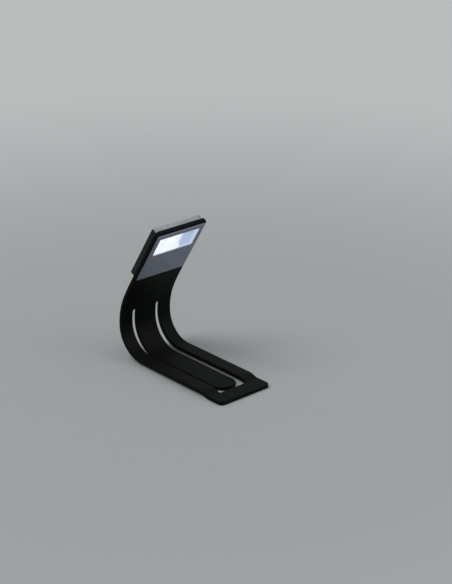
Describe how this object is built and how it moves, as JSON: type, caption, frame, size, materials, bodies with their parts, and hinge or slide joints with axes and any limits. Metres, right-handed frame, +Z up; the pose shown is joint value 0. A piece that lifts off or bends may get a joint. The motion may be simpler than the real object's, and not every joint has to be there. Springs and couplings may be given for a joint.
{
  "type": "book light",
  "caption": "Clip-on book light: a slim lamp head with a lit window on a flat bendable strip whose lower end is bent back as a slotted page clip.",
  "frame": {"origin": "centre of the footprint, on the surface that the clip lies on", "axes": "+X across the strip, to the right as the reader sees it; +Y towards the bend of the strip, away from the reader; +Z up"},
  "size_m": [0.032, 0.0776, 0.0757],
  "materials": {
    "strip_rubber": "matte, slightly soft",
    "core_steel": "plain soft steel band",
    "bezel_plastic": "satin silver-grey lacquer on moulded plastic",
    "silver_plastic": "silver lacquer on moulded plastic",
    "clear_plastic": "clear polished",
    "white_plastic": "white, reflective",
    "phosphor": "pale yellow filling",
    "board": "white solder mask",
    "black_plastic": "matte moulded",
    "gloss_black_plastic": "glossy moulded",
    "cell_steel": "nickel-plated can",
    "contact_brass": "spring brass",
    "screw_steel": "plated steel"
  },
  "bodies": {
    "clip": {"strip_clip": "strip_rubber", "core_clip": "core_steel"},
    "lower_link": {"strip_link_lower": "strip_rubber", "core_link_lower": "core_steel"},
    "upper_link": {"strip_link_upper": "strip_rubber", "core_link_upper": "core_steel"},
    "head": {"strip_head": "strip_rubber", "core_head": "core_steel", "front_bezel": "bezel_plastic", "window_lens": "clear_plastic", "reflector_tray": "white_plastic", "led_body": "white_plastic", "led_phosphor": "phosphor", "circuit_board": "board", "driver_chip": "black_plastic", "resistor": "black_plastic", "switch_box": "black_plastic", "rear_shell": "gloss_black_plastic", "coin_cell_rear": "cell_steel", "coin_cell_front": "cell_steel", "contact_front": "contact_brass", "contact_side": "contact_brass", "housing_screws": "screw_steel"},
    "tongue": {"strip_tongue": "strip_rubber"},
    "switch_bar": {"push_bar": "silver_plastic", "switch_plunger": "black_plastic"},
    "door": {"battery_door": "gloss_black_plastic", "door_screw": "screw_steel"}
  },
  "joints": [
    {"name": "neck_lower", "type": "hinge", "parent": "clip", "child": "lower_link", "pos_m": [0, 0.0371, 0.02402], "axis": [1, 0, 0], "range_deg": [-30, 30]},
    {"name": "neck_middle", "type": "hinge", "parent": "lower_link", "child": "upper_link", "pos_m": [0, 0.03415, 0.03248], "axis": [1, 0, 0], "range_deg": [-30, 30]},
    {"name": "neck_upper", "type": "hinge", "parent": "upper_link", "child": "head", "pos_m": [0, 0.02902, 0.04148], "axis": [1, 0, 0], "range_deg": [-30, 30]},
    {"name": "tongue_flex", "type": "hinge", "parent": "clip", "child": "tongue", "pos_m": [0, 0.03775, 0.0175], "axis": [1, 0, 0], "range_deg": [0, 20], "stiffness_Nm_per_rad": 0.03},
    {"name": "switch_press", "type": "slide", "parent": "head", "child": "switch_bar", "axis": [0, 0.5358, -0.8443], "range_m": [0, 0.0003], "stiffness_N_per_m": 400},
    {"name": "door_off", "type": "slide", "parent": "head", "child": "door", "axis": [0, 0.8443, 0.5358], "range_m": [0, 0.012]}
  ],
  "couplings": [
    {"joint": "neck_middle", "follows": "neck_lower", "ratio": 1},
    {"joint": "neck_upper", "follows": "neck_lower", "ratio": 1}
  ]
}
